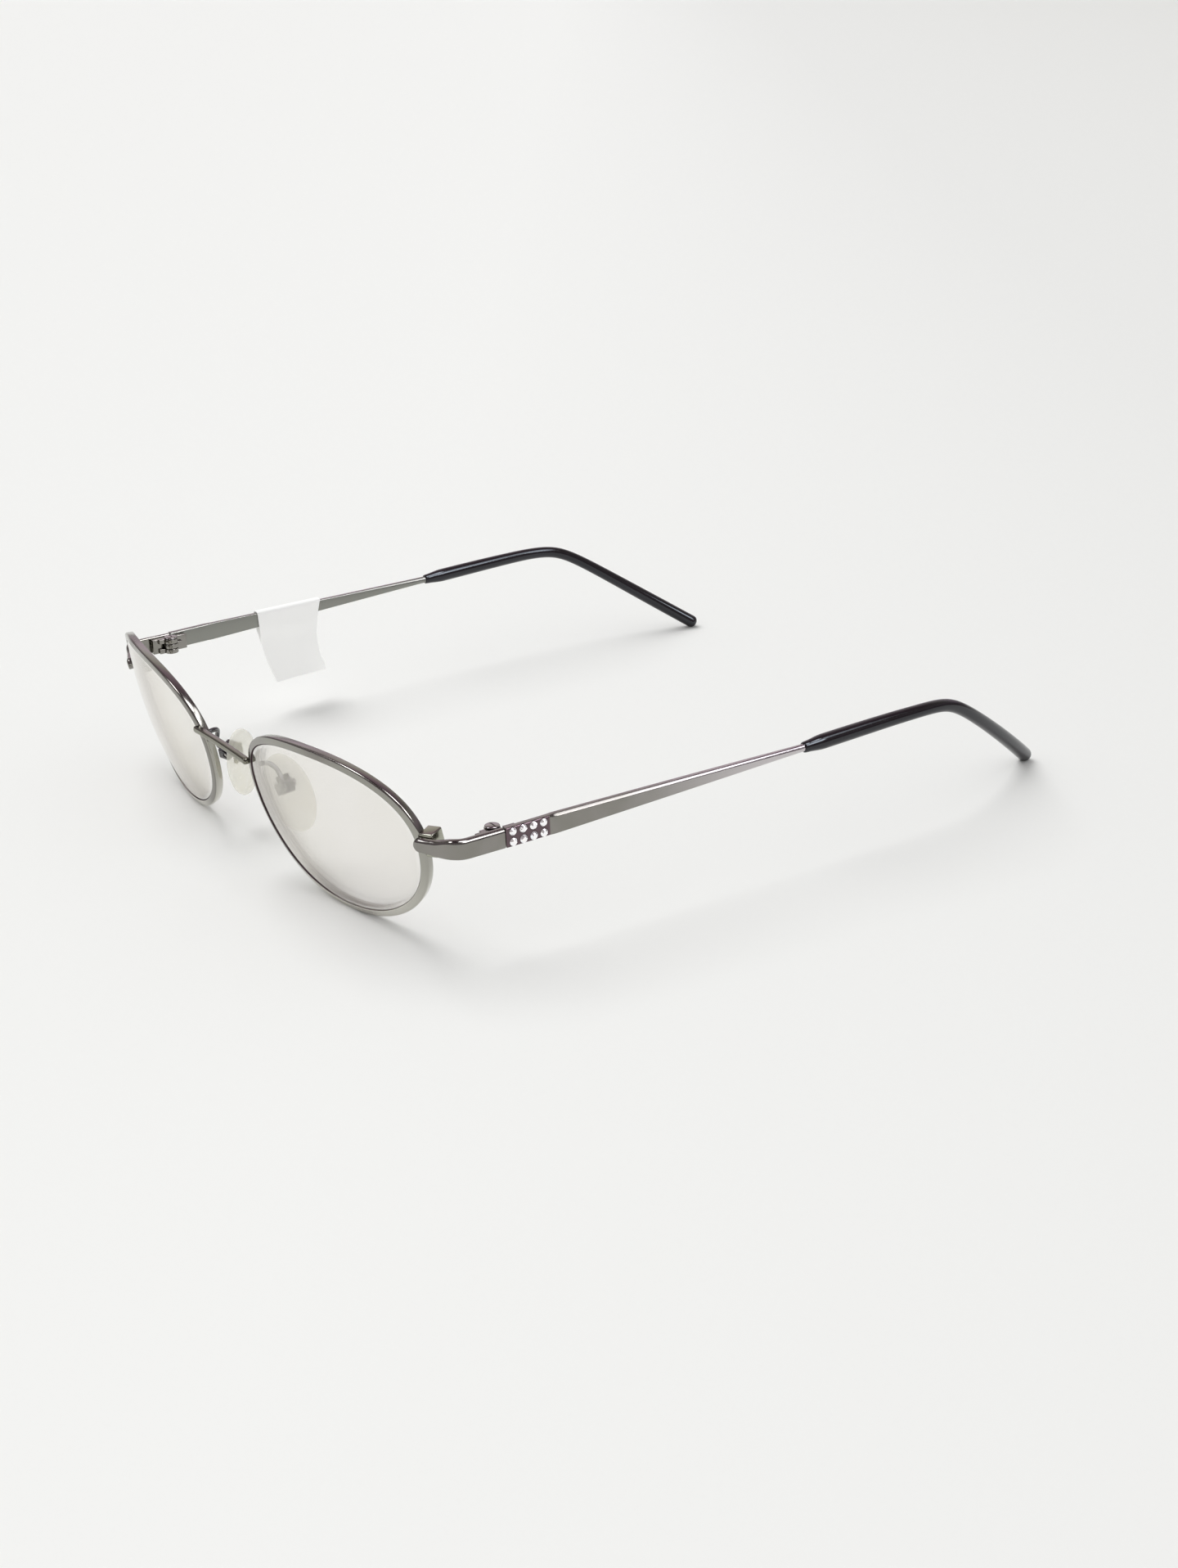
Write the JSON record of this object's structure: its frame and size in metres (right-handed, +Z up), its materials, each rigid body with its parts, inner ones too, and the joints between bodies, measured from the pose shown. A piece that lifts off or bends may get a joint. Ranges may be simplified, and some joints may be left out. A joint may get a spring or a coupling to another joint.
{
  "type": "oval sunglasses",
  "caption": "Metal-framed oval sunglasses with thin grooved rims, lightly tinted lenses, folding temples set with crystals, plastic tips, nose pads and a paper tag.",
  "frame": {"origin": "on the ground under the middle of the open glasses, halfway between the front of the bridge side and the ends of the tips", "axes": "+X is the wearer's left, -Y is the way the lenses face, the temples run towards +Y, +Z is up"},
  "size_m": [0.1367, 0.147, 0.0317],
  "materials": {
    "gunmetal": "polished dark grey plating",
    "screw_steel": "bright machined",
    "tinted_lens": "clear with a light grey-beige tint",
    "black_plastic": "glossy",
    "clear_silicone": "milky, translucent",
    "crystal": "faceted, clear",
    "white_paper": "matte, creased"
  },
  "bodies": {
    "front": {"bridge": "gunmetal", "closing_block_lower_left": "gunmetal", "closing_block_lower_right": "gunmetal", "closing_block_upper_left": "gunmetal", "closing_block_upper_right": "gunmetal", "closing_screw_left": "screw_steel", "closing_screw_right": "screw_steel", "end_piece_left": "gunmetal", "end_piece_right": "gunmetal", "hinge_front_left": "gunmetal", "hinge_front_right": "gunmetal", "hinge_screw_left": "screw_steel", "hinge_screw_right": "screw_steel", "lens_left": "tinted_lens", "lens_right": "tinted_lens", "pad_arm_left": "gunmetal", "pad_arm_right": "gunmetal", "pad_box_left": "gunmetal", "pad_box_right": "gunmetal", "pad_screw_left": "screw_steel", "pad_screw_right": "screw_steel", "rim_left": "gunmetal", "rim_right": "gunmetal"},
    "temple_left": {"crystal_left_1": "crystal", "crystal_left_2": "crystal", "crystal_left_3": "crystal", "crystal_left_4": "crystal", "crystal_left_5": "crystal", "crystal_left_6": "crystal", "crystal_left_7": "crystal", "crystal_left_8": "crystal", "hinge_temple_left": "gunmetal", "temple_bar_left": "gunmetal", "temple_tip_left": "black_plastic"},
    "temple_right": {"crystal_right_1": "crystal", "crystal_right_2": "crystal", "crystal_right_3": "crystal", "crystal_right_4": "crystal", "crystal_right_5": "crystal", "crystal_right_6": "crystal", "crystal_right_7": "crystal", "crystal_right_8": "crystal", "hinge_temple_right": "gunmetal", "paper_tag": "white_paper", "temple_bar_right": "gunmetal", "temple_tip_right": "black_plastic"},
    "pad_left": {"nose_pad_left": "clear_silicone", "pad_tab_left": "black_plastic"},
    "pad_right": {"nose_pad_right": "clear_silicone", "pad_tab_right": "black_plastic"}
  },
  "joints": [
    {"name": "left_temple_fold", "type": "hinge", "parent": "front", "child": "temple_left", "pos_m": [0.0639, -0.05365, 0.02045], "axis": [0, 0, 1], "range_deg": [0, 90]},
    {"name": "right_temple_fold", "type": "hinge", "parent": "front", "child": "temple_right", "pos_m": [-0.0639, -0.05365, 0.02045], "axis": [0, 0, -1], "range_deg": [0, 80]},
    {"name": "left_pad_rock", "type": "hinge", "parent": "front", "child": "pad_left", "pos_m": [0.01136, -0.06549, 0.01573], "axis": [-0.4053, -0.8595, -0.3113], "range_deg": [-8, 8]},
    {"name": "right_pad_rock", "type": "hinge", "parent": "front", "child": "pad_right", "pos_m": [-0.01136, -0.06549, 0.01573], "axis": [0.4053, -0.8595, -0.3113], "range_deg": [-8, 8]}
  ]
}
